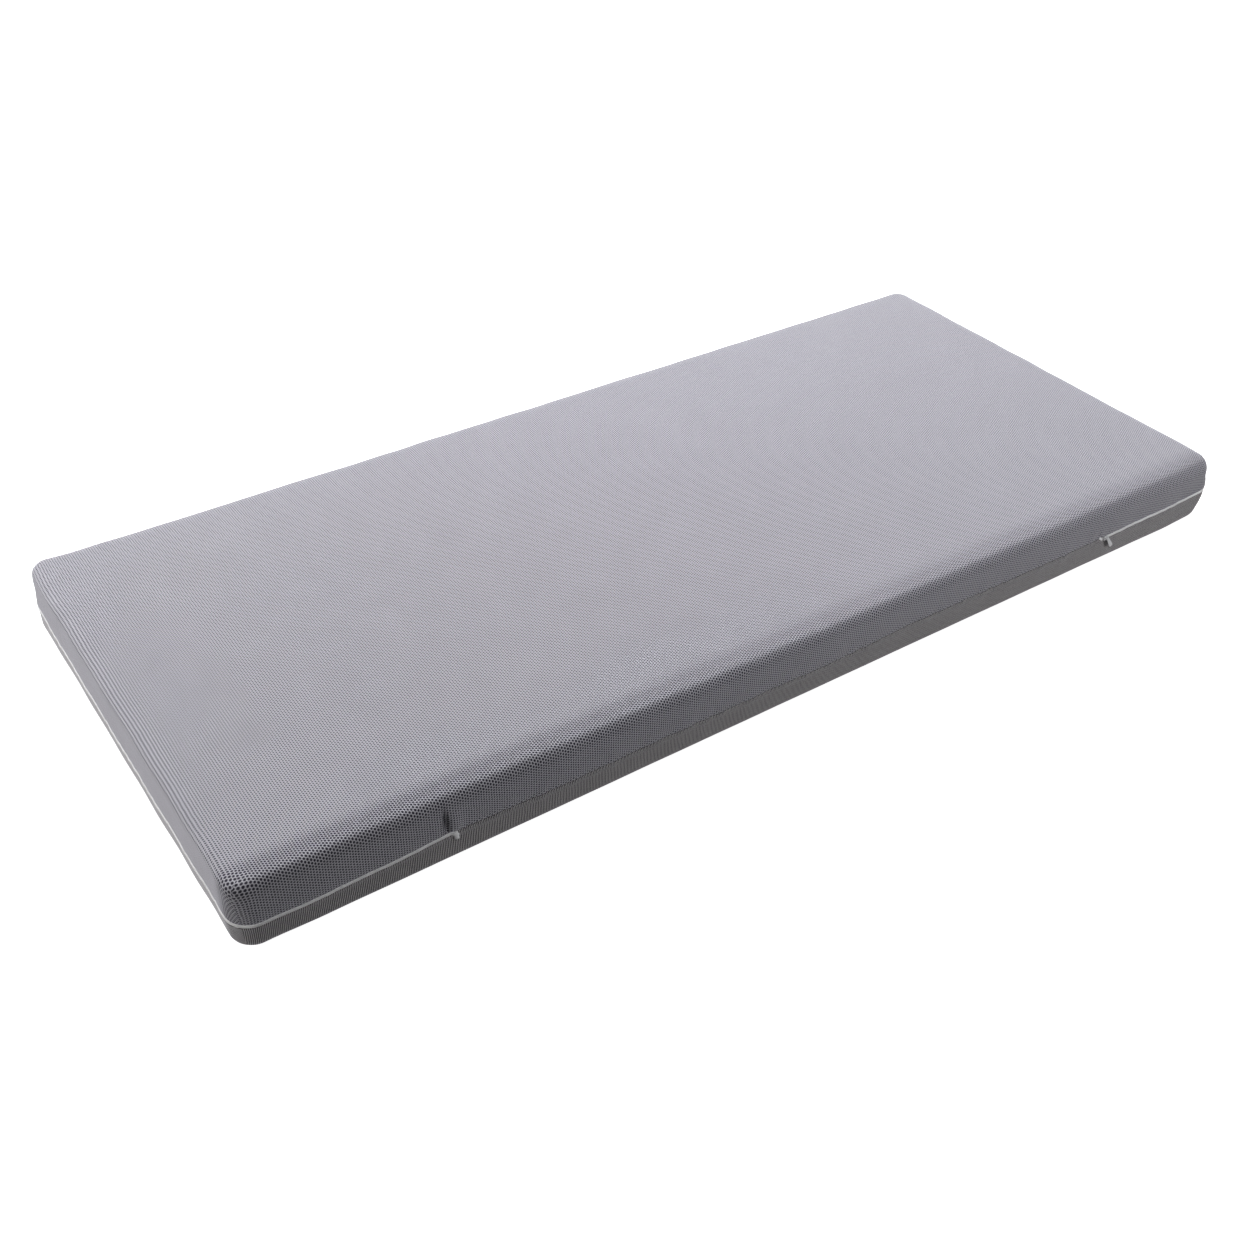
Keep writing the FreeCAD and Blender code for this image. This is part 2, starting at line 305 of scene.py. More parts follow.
def swollen(s, z):
    """How far the walls stand out: slow ripples, short ones at the seam, and a fuller upper shell."""
    near = bump_at(z, SEAM_Z, SEAM_WAVE_REACH) * (SEAM_WAVE_BY_ZIP + (1 - SEAM_WAVE_BY_ZIP) * sewn(s))
    upper = fade(z, *SWELL_LOW_HEIGHTS) * fade(z, *SWELL_HIGH_HEIGHTS)
    out = WALL_WAVE * wall_wave(s, z) + SEAM_WAVE * seam_wave(s, z) * near + UPPER_SWELL * upper
    return out * MM * fade(z, *FOOT_HEIGHTS) + seam_end_puckers(s, z)


def lifted(s, depth, z):
    """How far a point moves up with the wandering meeting line and the uneven top edge."""
    line = zip_lift(s) * fade(z, *LIFT_LOW_HEIGHTS) * fade(z, *LIFT_HIGH_HEIGHTS)
    return line + EDGE_WAVE * edge_wave(s, z) * fade(z, *EDGE_WAVE_HEIGHTS) * fade(depth, *EDGE_WAVE_DEPTHS)


def place(s, depth, z):
    """Where a point of the plain form lies once the cloth's own shapes are added."""
    s, depth, z = np.broadcast_arrays(*(np.asarray(v, float) for v in (s, depth, z)))
    depth, z = squared(s, depth, z)
    anchor, normal = outline(s)
    out = (PLAN_R - depth) * corner_point(s, z)
    out = out + (swollen(s, z) - tucked(s, z)) * (1 - np.clip(depth / PLAN_R, 0, 1))
    x, y = np.moveaxis(anchor + normal * out[..., None], -1, 0)
    return np.stack([x, y, z + lifted(s, depth, z)], -1)


# ---------------------------------------------------------------- meshes


def spread(low, high, step):
    """Evenly spaced values from low to high, about step apart."""
    return np.linspace(low, high, max(2, int(round((high - low) / step)) + 1))


def stations_x():
    """Where the mesh is cut across its length, closer together at the two ends of the seam."""
    parts = [spread(-HALF_X, FINE_LEFT[0], STEP), spread(*FINE_LEFT, FINE_STEP),
             spread(FINE_LEFT[1], FINE_RIGHT[0], STEP), spread(*FINE_RIGHT, FINE_STEP),
             spread(FINE_RIGHT[1], HALF_X, STEP)]
    return np.unique(np.round(np.concatenate(parts), 7))


XS, YS = stations_x(), spread(-HALF_Y, HALF_Y, STEP)


def ring():
    """Every station of the outline: its s, and the column and row of the cap's grid it runs into."""
    last_x, last_y = len(XS) - 1, len(YS) - 1
    sides = [
        ([on_front(x) for x in XS], [(i, 0) for i in range(last_x + 1)]),
        ([on_right(y) for y in YS], [(last_x, j) for j in range(last_y + 1)]),
        ([on_back(x) for x in XS[::-1]], [(i, last_y) for i in range(last_x, -1, -1)]),
        ([on_left(y) for y in YS[::-1]], [(0, j) for j in range(last_y, -1, -1)]),
    ]
    s, grid = [], []
    for k, (at, cells) in enumerate(sides):
        s += at
        grid += cells
        for step in range(1, CORNER_STEPS):
            s.append(SIDE_START[k] + SIDES[k] + ARC * step / CORNER_STEPS)
            grid.append(cells[-1])
    return np.array(s), grid


RING_S, RING_GRID = ring()


def merged(parts):
    """Several (points, faces, uvs) as one."""
    points, faces, uvs, start = [], [], [], 0
    for p, f, u in parts:
        points.append(np.asarray(p))
        faces += [[start + v for v in face] for face in f]
        uvs += list(u)
        start += len(p)
    return np.concatenate(points), faces, uvs


def mesh_object(name, points, faces, uvs):
    """A smooth-shaded mesh. uvs has one (u, v) per face corner and becomes the UV map "cloth"."""
    mesh = bpy.data.meshes.new(name)
    mesh.from_pydata([tuple(p) for p in points], [], faces)
    mesh.uv_layers.new(name="cloth").data.foreach_set("uv", np.asarray(uvs, np.float32).ravel())
    mesh.polygons.foreach_set("use_smooth", [True] * len(mesh.polygons))
    mesh.update()
    obj = bpy.data.objects.new(name, mesh)
    bpy.context.scene.collection.objects.link(obj)
    return obj


def laid_out(s, length, reach, late):
    """Where points are on the laid-out cloth, length along it from the inner rectangle. reach is how far
    they are from a corner's centre once sewn. Each corner has a dart, and late picks the side after it."""
    anchor, normal = outline(s)
    angle = np.arctan2(normal[..., 1], normal[..., 0])
    keep = np.clip(reach / np.maximum(length, 1e-6), 0.3, 1)
    for k in range(4):
        turn = (s - SIDE_START[k] - SIDES[k]) / PLAN_R
        first, quarter = (k - 1) * math.pi / 2, math.pi / 2
        bent = first + quarter - (quarter - turn) * keep if late else first + turn * keep
        angle = np.where((turn >= 0) & (turn <= quarter), bent, angle)
    return anchor + length[..., None] * np.stack([np.cos(angle), np.sin(angle)], -1)


def is_late(middle):
    """Whether a face is on the first half of a side, counted from the dart before it."""
    return any((middle - SIDE_START[k] + ARC / 2) % PERIMETER < (ARC + SIDES[k]) / 2 for k in range(4))


HOLLOWS, HOLLOW_DEPTH, HOLLOW_WAVES = 8, 0.0002, (2, 14)


def crowned(x, y, z, height, seed):
    """The height of a wide panel: fullest in the middle, with faint hollows."""
    rng = np.random.default_rng(seed)
    full = np.sqrt((1 - (x / HALF_X) ** 2) * (1 - (y / HALF_Y) ** 2))
    out = height * full
    for _ in range(HOLLOWS):
        kx, ky, phase = rng.uniform(*HOLLOW_WAVES), rng.uniform(*HOLLOW_WAVES), rng.uniform(0, 2 * math.pi)
        out = out + HOLLOW_DEPTH * np.sin(kx * x + ky * y + phase) * full
    return z + out


def swept_body(name, profile, sewn_profile=None, low_cap=None, high_cap=None):
    """A body whose wall follows the outline. profile is (depth, z) from bottom to top, and
    sewn_profile stands in for it along the sewn seam. A cap is the (z, crown, seed) of an end panel."""
    profile = np.array(profile)
    other = profile if sewn_profile is None else np.array(sewn_profile)
    share = sewn(RING_S)[None, :]
    depth = profile[:, :1] * (1 - share) + other[:, :1] * share
    z = profile[:, 1:] * (1 - share) + other[:, 1:] * share
    rows, count = depth.shape
    points = [place(RING_S[None, :], depth, z).reshape(-1, 3)]
    total = rows * count
    grid_x, grid_y = np.meshgrid(XS, YS, indexing="ij")
    caps = {}
    for row, cap in ((-1, low_cap), (rows, high_cap)):
        if cap:
            caps[row] = total
            points.append(np.stack([grid_x, grid_y, crowned(grid_x, grid_y, *cap)], -1).reshape(-1, 3))
            total += grid_x.size

    run = np.concatenate([[0], np.cumsum(np.hypot(*np.diff(profile, axis=0).T))])
    length = run + PLAN_R - profile[0, 0] if low_cap else run[-1] - run + PLAN_R - profile[-1, 0]
    along, out, reach = np.broadcast_arrays(RING_S[None, :], length[:, None], PLAN_R - profile[:, :1])
    flat = [laid_out(along, out, reach, late) for late in (False, True)]
    rim = [(XS[a], YS[b]) for a, b in RING_GRID]

    def corner(row, i, late):
        """The vertex number and flat place of a station on a wall row or on a cap's rim."""
        if row in caps:
            a, b = RING_GRID[i]
            return caps[row] + a * len(YS) + b, rim[i]
        return row * count + i, flat[late][row, i]

    faces, uvs = [], []
    for i in range(count):
        j = (i + 1) % count
        late = is_late(RING_S[i] + ((RING_S[j] - RING_S[i]) % PERIMETER) / 2)
        for row in range(min(caps, default=0) if low_cap else 0, max(caps) if high_cap else rows - 1):
            quad = [corner(r, at, late) for r, at in ((row, i), (row, j), (row + 1, j), (row + 1, i))]
            quad = [q for k, q in enumerate(quad) if q[0] != quad[k - 1][0]]
            if len(quad) > 2:
                faces.append([v for v, _ in quad])
                uvs += [uv for _, uv in quad]
    for row, start in caps.items():
        for a in range(len(XS) - 1):
            for b in range(len(YS) - 1):
                cell = [(a, b), (a + 1, b), (a + 1, b + 1), (a, b + 1)]
                cell = cell if row == rows else cell[::-1]
                faces.append([start + p * len(YS) + q for p, q in cell])
                uvs += [(XS[p], YS[q]) for p, q in cell]
    return mesh_object(name, np.concatenate(points), faces, uvs)


def arc(centre_depth, centre_z, radius, start, end, steps):
    """(depth, z) points on an arc; 0 degrees points outwards and 90 up."""
    angles = np.radians(np.linspace(start, end, steps + 1))
    return [(centre_depth - radius * math.cos(a), centre_z + radius * math.sin(a)) for a in angles]


def wall(depth, low, high, step=0.005):
    """(depth, z) points straight up a wall."""
    return [(depth, z) for z in spread(low, high, step)]


def mm(pairs):
    """Pairs of millimetres in metres."""
    return [(depth * MM, z * MM) for depth, z in pairs]


UPPER_WALL_LOW, LOWER_WALL_HIGH = 0.066, 0.050


def upper_shell():
    """The top panel and the upper half of the walls, in one piece, with its lower edge turned in."""
    hem = mm([(3.6, 63.5), (3.1, 61.8), (2.4, 60.7), (1.5, 60.3), (0.7, 60.7), (0.2, 61.9), (0.0, 63.6)])
    sewn_hem = mm([(3.9, 59.4), (3.5, 58.6), (2.8, 58.1), (1.9, 58.15),
                   (1.0, 58.9), (0.35, 60.3), (0.05, 62.6)])
    wall_top = THICKNESS - TOP_R
    rest = wall(0, UPPER_WALL_LOW, wall_top) + arc(TOP_R, wall_top, TOP_R, 0, 90, ARC_STEPS)[1:]
    return swept_body("cover_top_cloth", hem + rest, sewn_hem + rest, high_cap=(THICKNESS, CROWN, 21))


def lower_shell():
    """The bottom panel and the lower half of the walls."""
    hem = mm([(0.0, 52.4), (0.2, 54.1), (0.7, 55.3), (1.5, 55.7), (2.4, 55.3), (3.1, 54.2), (3.6, 52.5)])
    sewn_hem = mm([(0.05, 53.4), (0.35, 55.7), (1.0, 57.1), (1.9, 57.85),
                   (2.8, 57.9), (3.5, 57.4), (3.9, 56.6)])
    rest = arc(BOTTOM_R, BOTTOM_R, BOTTOM_R, -90, 0, BOTTOM_STEPS)[:-1] + wall(0, BOTTOM_R, LOWER_WALL_HIGH)
    return swept_body("cover_bottom_cloth", rest + hem, rest + sewn_hem, low_cap=(0.0, 0.0, 22))


def foam_block(name, low, high, low_r, high_r, crown, seed):
    """A layer of foam that fills the cover, with its own edges rounded."""
    depth = FOAM_DEPTH
    profile = arc(depth + low_r, low + low_r, low_r, -90, 0, FOAM_BOTTOM_STEPS)[:-1]
    profile += wall(depth, low + low_r, high - high_r)
    profile += arc(depth + high_r, high - high_r, high_r, 0, 90, FOAM_TOP_STEPS)[1:]
    return swept_body(name, profile, low_cap=(low, 0.0, seed), high_cap=(high, crown, seed + 1))


def zip_stretch(offset=0.0, step=0.006):
    """Values of s along the zip, from the right end of the seam all the way round to its left end."""
    first, last = on_front(SEAM_RIGHT_X) + ZIP_END_GAP, on_front(SEAM_LEFT_X) + PERIMETER - ZIP_END_GAP
    return spread(first + offset, last, step)


def band(section, s):
    """A bar that follows the outline: section is a closed loop of (depth, z)."""
    section = np.array(section)
    n, m = len(section), len(s)
    points = place(np.asarray(s)[:, None], section[None, :, 0], section[None, :, 1]).reshape(-1, 3)
    edge = np.concatenate([[0], np.cumsum(np.hypot(*np.diff(np.vstack([section, section[:1]]), axis=0).T))])
    faces, uvs = [], []
    for i in range(m - 1):
        for k in range(n):
            j = (k + 1) % n
            faces.append([i * n + k, i * n + j, (i + 1) * n + j, (i + 1) * n + k])
            uvs += [(s[i], edge[k]), (s[i], edge[k + 1]), (s[i + 1], edge[k + 1]), (s[i + 1], edge[k])]
    for i, order in ((0, range(n - 1, -1, -1)), (m - 1, range(n))):
        faces.append([i * n + k for k in order])
        uvs += [(s[i], edge[k]) for k in order]
    return points, faces, uvs


def tape(name, side):
    """One tape: it starts beside the coil and runs up or down behind the cloth. side is 1 above the
    line and -1 below it."""
    section = mm([(1.3, 0.9), (1.7, 0.9), (3.0, 4.5), (3.0, 11.7), (2.6, 11.7), (2.6, 4.5)])[::side]
    return mesh_object(name, *band([(depth, SEAM_Z + side * z) for depth, z in section], zip_stretch()))


TOOTH_PITCH = 0.0015
TOOTH_LENGTH = 0.0010
TOOTH_NEAR, TOOTH_FAR = -0.0006, 0.0012
TOOTH_TIP, TOOTH_ROOT = 0.0001, 0.0019
TOOTH_BEVEL = 0.0002
CORD_INSET, CORD_THICK = 0.0004, 0.0006


def coil(name, side, offset):
    """Teeth of the coil, one block per turn, on a thin cord that joins them. side is +1 above the line."""
    s = zip_stretch(offset, TOOTH_PITCH)
    half = TOOTH_LENGTH / 2
    tip, root = SEAM_Z + side * TOOTH_TIP, SEAM_Z + side * TOOTH_ROOT
    section = [(TOOTH_NEAR + TOOTH_BEVEL, tip), (TOOTH_FAR - TOOTH_BEVEL, tip),
               (TOOTH_FAR, root), (TOOTH_NEAR, root)]
    corners = np.array([(end, d, z) for end in (-half, half) for d, z in section])
    points = place(s[:, None] + corners[:, 0], corners[None, :, 1], corners[None, :, 2]).reshape(-1, 3)
    block = [(0, 1, 2, 3), (7, 6, 5, 4), (0, 4, 5, 1), (1, 5, 6, 2), (2, 6, 7, 3), (3, 7, 4, 0)]
    faces = [[8 * turn + v for v in face] for turn in range(len(s)) for face in block]
    teeth = (points, faces, [(0, 0)] * (4 * len(faces)))
    inset, outer = TOOTH_NEAR + CORD_INSET, root + side * CORD_THICK
    cord_section = [(inset, root), (TOOTH_FAR, root), (TOOTH_FAR, outer), (inset + TOOTH_BEVEL, outer)]
    cord = band(cord_section[::side], zip_stretch())
    return mesh_object(name, *merged([teeth, cord]))


STITCH_PITCH = 0.0068
STITCH_LENGTH = 0.0040
STITCH_R = 0.00045
STITCH_RUN = (SEAM_LEFT_X + 0.013, SEAM_RIGHT_X - 0.012)
STITCH_DEPTH, STITCH_DIP = 0.0008, 0.0007
STITCH_LENGTHS, STITCH_TILT, STITCH_DROP = (0.85, 1.15), 0.0004, 0.0002
STITCH_END = 0.12


def stitches():
    """The row of stitches that shows in the groove of the sewn seam."""
    rng = np.random.default_rng(31)
    rings, sides = 6, 6
    spots, faces, start = [], [], 0
    for centre in np.arange(*STITCH_RUN, STITCH_PITCH):
        length = STITCH_LENGTH * rng.uniform(*STITCH_LENGTHS)
        tilt, drop = rng.uniform(-STITCH_TILT, STITCH_TILT), rng.uniform(-STITCH_DROP, STITCH_DROP)
        for r in range(rings + 1):
            t = r / rings * 2 - 1
            radius = STITCH_R * max(STITCH_END, math.sqrt(max(0.0, 1 - t ** 4)))
            for a in range(sides):
                turn = 2 * math.pi * a / sides
                spots.append((on_front(centre + t * length / 2),
                              STITCH_DEPTH + STITCH_DIP * t * t - radius * math.cos(turn),
                              SEAM_Z + drop + tilt * t + radius * math.sin(turn)))
        for r in range(rings):
            low, high = start + r * sides, start + (r + 1) * sides
            for a in range(sides):
                b = (a + 1) % sides
                faces.append([low + a, low + b, high + b, high + a])
        faces.append([start + a for a in range(sides - 1, -1, -1)])
        faces.append([start + rings * sides + a for a in range(sides)])
        start += (rings + 1) * sides
    points = place(*np.array(spots).T)
    return mesh_object("front_seam_stitches", points, faces, [(0, 0)] * sum(len(f) for f in faces))


def patch(low, high, depth, thick, columns=7, rows=7):
    """A thin piece of cloth on the outline between two edges, each a pair of (s, z) points.
    depth is a function of the shares along and up the patch."""
    spots, flat = [], []
    low, high = np.array(low), np.array(high)
    for layer in (0.0, thick):
        for i in range(columns):
            for j in range(rows):
                a, b = i / (columns - 1), j / (rows - 1)
                s, z = (low[0] * (1 - a) + low[1] * a) * (1 - b) + (high[0] * (1 - a) + high[1] * a) * b
                spots.append((s, depth(a, b) + layer, z))
                flat.append((s, z))
    size, faces = columns * rows, []
    for i in range(columns - 1):
        for j in range(rows - 1):
            quad = [i * rows + j, (i + 1) * rows + j, (i + 1) * rows + j + 1, i * rows + j + 1]
            faces += [quad, [v + size for v in quad[::-1]]]
    rim = ([i * rows for i in range(columns)] + [(columns - 1) * rows + j for j in range(1, rows)]
           + [i * rows + rows - 1 for i in range(columns - 2, -1, -1)] + list(range(rows - 2, 0, -1)))
    for v, w in zip(rim, rim[1:] + rim[:1]):
        faces.append([v, v + size, w + size, w])
    return place(*np.array(spots).T), faces, [flat[v] for face in faces for v in face]


TAIL_THICK = 0.0005


def tape_tail_left():
    """The end of the zip tape, which comes out of the seam's left end and lies on the lower shell."""
    x = SEAM_LEFT_X
    low = ((on_front(x + 0.0035), SEAM_Z - 0.0150), (on_front(x + 0.0115), SEAM_Z - 0.0165))
    high = ((on_front(x - 0.0005), SEAM_Z + 0.0005), (on_front(x + 0.0095), SEAM_Z + 0.0005))
    stand_off, belly, curl, tuck_in = 0.0006, 0.0013, 0.0010, 0.0030

    def depth(a, b):
        return -stand_off - belly * (1 - (2 * a - 1) ** 2) - curl * (1 - b) + tuck_in * b ** 3
    return mesh_object("tape_tail_left", *patch(low, high, depth, TAIL_THICK))


def tape_tail_right():
    """The small tape end beside the slider."""
    x = SEAM_RIGHT_X
    low = ((on_front(x - 0.0100), SEAM_Z + 0.0025), (on_front(x - 0.0005), SEAM_Z - 0.0045))
    high = ((on_front(x - 0.0085), SEAM_Z + 0.0060), (on_front(x + 0.0010), SEAM_Z + 0.0005))
    stand_off, belly = 0.0007, 0.0006

    def depth(_, b):
        return -stand_off - belly * (1 - (2 * b - 1) ** 2)
    return mesh_object("tape_tail_right", *patch(low, high, depth, TAIL_THICK))


def seam_allowance():
    """The turned-in edges behind the sewn seam."""
    gap = 0.002
    x = spread(SEAM_LEFT_X + gap, SEAM_RIGHT_X - gap, STEP)
    section = mm([(2.7, 57.2), (3.3, 57.6), (4.1, 57.2), (4.2, 52.5),
                  (4.2, 48.0), (3.8, 48.0), (3.4, 52.5)])
    return mesh_object("front_seam_allowance_cloth", *band(section, on_front(x)))


CORNER_REACH = 0.0085
CORNER_SEAM_DEPTH, CORNER_SEAM_BOW, CORNER_SEAM_THICK = 0.0026, 0.0006, 0.0008


def corner_allowances(name, low, high):
    """The sewn edge inside each of the four corners."""
    def depth(a, _):
        return CORNER_SEAM_DEPTH + CORNER_SEAM_BOW * abs(2 * a - 1)

    strips = []
    for k in range(4):
        middle = SIDE_START[k] + SIDES[k] + ARC / 2
        left, right = middle - CORNER_REACH, middle + CORNER_REACH
        strips.append(patch(((left, low), (right, low)), ((left, high), (right, high)),
                            depth, CORNER_SEAM_THICK, columns=9, rows=6))
    return mesh_object(name, *merged(strips))


# ---------------------------------------------------------------- materials


class Shader:
    """A Principled material, with short names for the nodes that its textures need."""

    def __init__(self, name, colour, values):
        self.material = bpy.data.materials.new(name)
        self.material.use_nodes = True
        self.tree = self.material.node_tree
        self.surface = self.tree.nodes["Principled BSDF"]
        self.surface.inputs["Base Color"].default_value = (*colour, 1)
        for key, value in values.items():
            self.surface.inputs[key].default_value = value

    def put(self, socket, value):
        if isinstance(value, bpy.types.NodeSocket):
            self.tree.links.new(value, socket)
        else:
            socket.default_value = value

    def node(self, kind, inputs=(), **settings):
        made = self.tree.nodes.new("ShaderNode" + kind)
        for key, value in settings.items():
            setattr(made, key, value)
        for key, value in dict(inputs).items():
            self.put(made.inputs[key], value)
        return made

    def math(self, operation, *values):
        return self.node("Math", enumerate(values), operation=operation).outputs[0]

    def ramp(self, value, low, high, to_low=0.0, to_high=1.0):
        return self.node("MapRange", {"Value": value, "From Min": low, "From Max": high,
                                      "To Min": to_low, "To Max": to_high},
                         interpolation_type="SMOOTHSTEP").outputs[0]

    def mix(self, factor, a, b):
        made = self.node("Mix", data_type="RGBA")
        for k, value in ((0, factor), (6, a), (7, b)):
            self.put(made.inputs[k], (*value, 1) if isinstance(value, tuple) else value)
        return made.outputs[2]

    def noise(self, vector, scale, detail=2.0):
        return self.node("TexNoise", {"Vector": vector, "Scale": scale, "Detail": detail}).outputs["Fac"]

    def where(self):
        """The point in the object's own space."""
        return self.node("TexCoord").outputs["Object"]

    def cloth_point(self):
        """The point on the laid-out cloth."""
        return self.node("UVMap", uv_map="cloth").outputs["UV"]

    def finish(self, colour, roughness, height, distance, strength):
        """Joins up the colour, the roughness and the bump, and gives the material."""
        bump = self.node("Bump", {"Height": height, "Distance": distance, "Strength": strength})
        self.put(self.surface.inputs["Base Color"], colour)
        self.put(self.surface.inputs["Roughness"], roughness)
        self.put(self.surface.inputs["Normal"], bump.outputs[0])
        return self.material


def shade(colour, share):
    return tuple(c * share for c in colour)


MESH_SWAY, MESH_JITTER = 1.4, (0.35, -0.30)
LOOPS_PER_HOLE = 5


def mesh_cloth(name, yarn, hole_shade, pitch, hole_size, depth):
    """Open spacer mesh: staggered holes in a knitted face, the holes painted near black as painted shade of
    their depth. pitch and hole_size are (across, along).
    A point attribute sets how wide the holes open; besides real stretch it adds painted shade where the
    holes open wider and painted light where they close up."""
    m = Shader(name, yarn, {"Specular IOR Level": 0.18, "Sheen Weight": 0.55, "Sheen Roughness": 0.45,
                            "Sheen Tint": (0.93, 0.92, 1.0, 1)})
    point = m.cloth_point()
    sway = m.math("SUBTRACT", m.noise(point, 5.0, 1.0), 0.5)
    jitter = m.math("SUBTRACT", m.noise(point, 90.0, 1.0), 0.5)
    split = m.node("SeparateXYZ", {"Vector": point})
    u = m.math("MULTIPLY_ADD", sway, MESH_SWAY * pitch[0], split.outputs["X"])
    u = m.math("MULTIPLY_ADD", jitter, MESH_JITTER[0] * pitch[0], u)
    v = m.math("MULTIPLY_ADD", jitter, MESH_JITTER[1] * pitch[1], split.outputs["Y"])
    column = m.math("DIVIDE", u, pitch[0])
    nearest = m.math("ROUND", column)
    across = m.math("SUBTRACT", column, nearest)
    stagger = m.math("MULTIPLY", m.math("FLOORED_MODULO", nearest, 2.0), 0.5)
    row = m.math("ADD", m.math("DIVIDE", v, pitch[1]), stagger)
    along = m.math("SUBTRACT", row, m.math("ROUND", row))
    stretch_and_shade = m.node("Attribute", attribute_name="stretch_and_shade").outputs["Fac"]
    across = m.math("DIVIDE", across, m.math("MULTIPLY", stretch_and_shade, hole_size[0]))
    along = m.math("DIVIDE", along, m.math("MULTIPLY", stretch_and_shade, hole_size[1]))
    square = m.math("ADD", m.math("MULTIPLY", across, across), m.math("MULTIPLY", along, along))
    radius = m.math("SQRT", square)
    opening = m.ramp(radius, 1.25, 0.70)
    knit = m.noise(point, 1500.0)
    loops = m.math("SINE", m.math("MULTIPLY", v, 2 * math.pi / (pitch[1] / LOOPS_PER_HOLE)))
    blotch = m.ramp(m.noise(point, 14.0, 3.0), 0.3, 0.7)
    tone = m.mix(m.ramp(knit, 0.3, 0.7), shade(yarn, 0.93), shade(yarn, 1.06))
    tone = m.mix(m.math("MULTIPLY", blotch, 0.10), tone, shade(yarn, 0.75))
    rise = m.math("SUBTRACT", m.math("MULTIPLY", knit, 0.06), opening)
    rise = m.math("MULTIPLY_ADD", loops, 0.03, rise)
    # painted shade: the holes are drawn in the near-black hole colour
    return m.finish(m.mix(opening, tone, hole_shade), m.ramp(knit, 0.2, 0.8, 0.82, 0.96), rise, depth, 0.8)


def foam(name, colour, second, pore_shade, size):
    """Open-celled foam: fine pores darkened with painted shade, and a slow drift of colour."""
    m = Shader(name, colour, {"Specular IOR Level": 0.15})
    where = m.where()
    cells = m.node("TexVoronoi", {"Vector": where, "Scale": size}).outputs["Distance"]
    walls = m.ramp(cells, 0.10, 0.42)
    fine = m.noise(where, 300.0, 3.0)
    tone = m.mix(m.ramp(m.noise(where, 6.0, 3.0), 0.3, 0.7), colour, second)
    # painted shade: the pores are darkened towards the pore colour
    tone = m.mix(m.math("MULTIPLY_ADD", walls, -0.55, 0.55), tone, pore_shade)
    rise = m.math("MULTIPLY_ADD", fine, 0.4, walls)
    return m.finish(tone, m.ramp(fine, 0.3, 0.7, 0.86, 0.98), rise, 0.0007, 0.7)


def woven(name, colour, pitch):
    """Fine plain weave, for tapes."""
    m = Shader(name, colour, {"Specular IOR Level": 0.3, "Sheen Weight": 0.25})
    split = m.node("SeparateXYZ", {"Vector": m.cloth_point()})
    warp, weft = (m.math("SINE", m.math("MULTIPLY", split.outputs[axis], 2 * math.pi / pitch))
                  for axis in "XY")
    cross = m.math("MULTIPLY", warp, weft)
    tone = m.mix(m.ramp(cross, -0.6, 0.6), shade(colour, 0.86), colour)
    return m.finish(tone, m.ramp(cross, -0.6, 0.6, 0.70, 0.85), cross, 0.00012, 0.6)


def grained(name, colour, roughness, scale, values):
    """Moulded plastic, thread or plated metal with a little uneven wear."""
    m = Shader(name, colour, values)
    where = m.where()
    wear = m.ramp(m.noise(where, scale, 3.0), 0.3, 0.7)
    rough = m.math("MULTIPLY_ADD", wear, 0.14, roughness - 0.06)
    tone = m.mix(wear, shade(colour, 0.90), colour)
    return m.finish(tone, rough, m.noise(where, scale * 6), 0.00005, 0.4)


# The hole colours are painted shade standing in for the depth of the holes; the yarn colours are the
# cloth's own.
YARN, HOLE_SHADE = (0.392, 0.387, 0.423), (0.014, 0.012, 0.022)
LOWER_YARN, LOWER_HOLE_SHADE = (0.442, 0.428, 0.435), (0.022, 0.019, 0.022)

MATERIALS = {
    "air_mesh": mesh_cloth("air_mesh", YARN, HOLE_SHADE, (HOLE_PITCH, HOLE_PITCH), HOLE_SIZE, 0.0009),
    "air_mesh_lower": mesh_cloth("air_mesh_lower", LOWER_YARN, LOWER_HOLE_SHADE, (RIB_PITCH, HOLE_PITCH),
                                 RIB_HOLE_SIZE, 0.0006),
    # the third colour of each foam is the painted shade of its pores
    "memory_foam": foam("memory_foam", (0.58, 0.54, 0.44), (0.555, 0.515, 0.415), (0.30, 0.26, 0.19),
                        420.0),
    "support_foam": foam("support_foam", (0.38, 0.44, 0.50), (0.36, 0.42, 0.48), (0.18, 0.22, 0.27), 300.0),
    "zip_tape": woven("zip_tape", (0.80, 0.80, 0.82), 0.0008),
    "zip_coil": grained("zip_coil", (0.90, 0.90, 0.91), 0.42, 400.0, {}),
    "zip_metal": grained("zip_metal", (0.82, 0.82, 0.84), 0.36, 260.0,
                         {"Metallic": 0.25, "Coat Weight": 0.3}),
    "thread": grained("thread", (0.030, 0.028, 0.040), 0.8, 500.0, {}),
}


EDGE_STRETCH_AND_SHADE, PUCKER_PAINTED_SHADE, ENDS_PAINTED_LIGHT = 0.10, 0.50, -0.55
FRONT_OPENING_RIGHT, FRONT_OPENING_LEFT = 0.12, 0.26
FRONT_OPENING_SPAN = (0.2, -0.8)


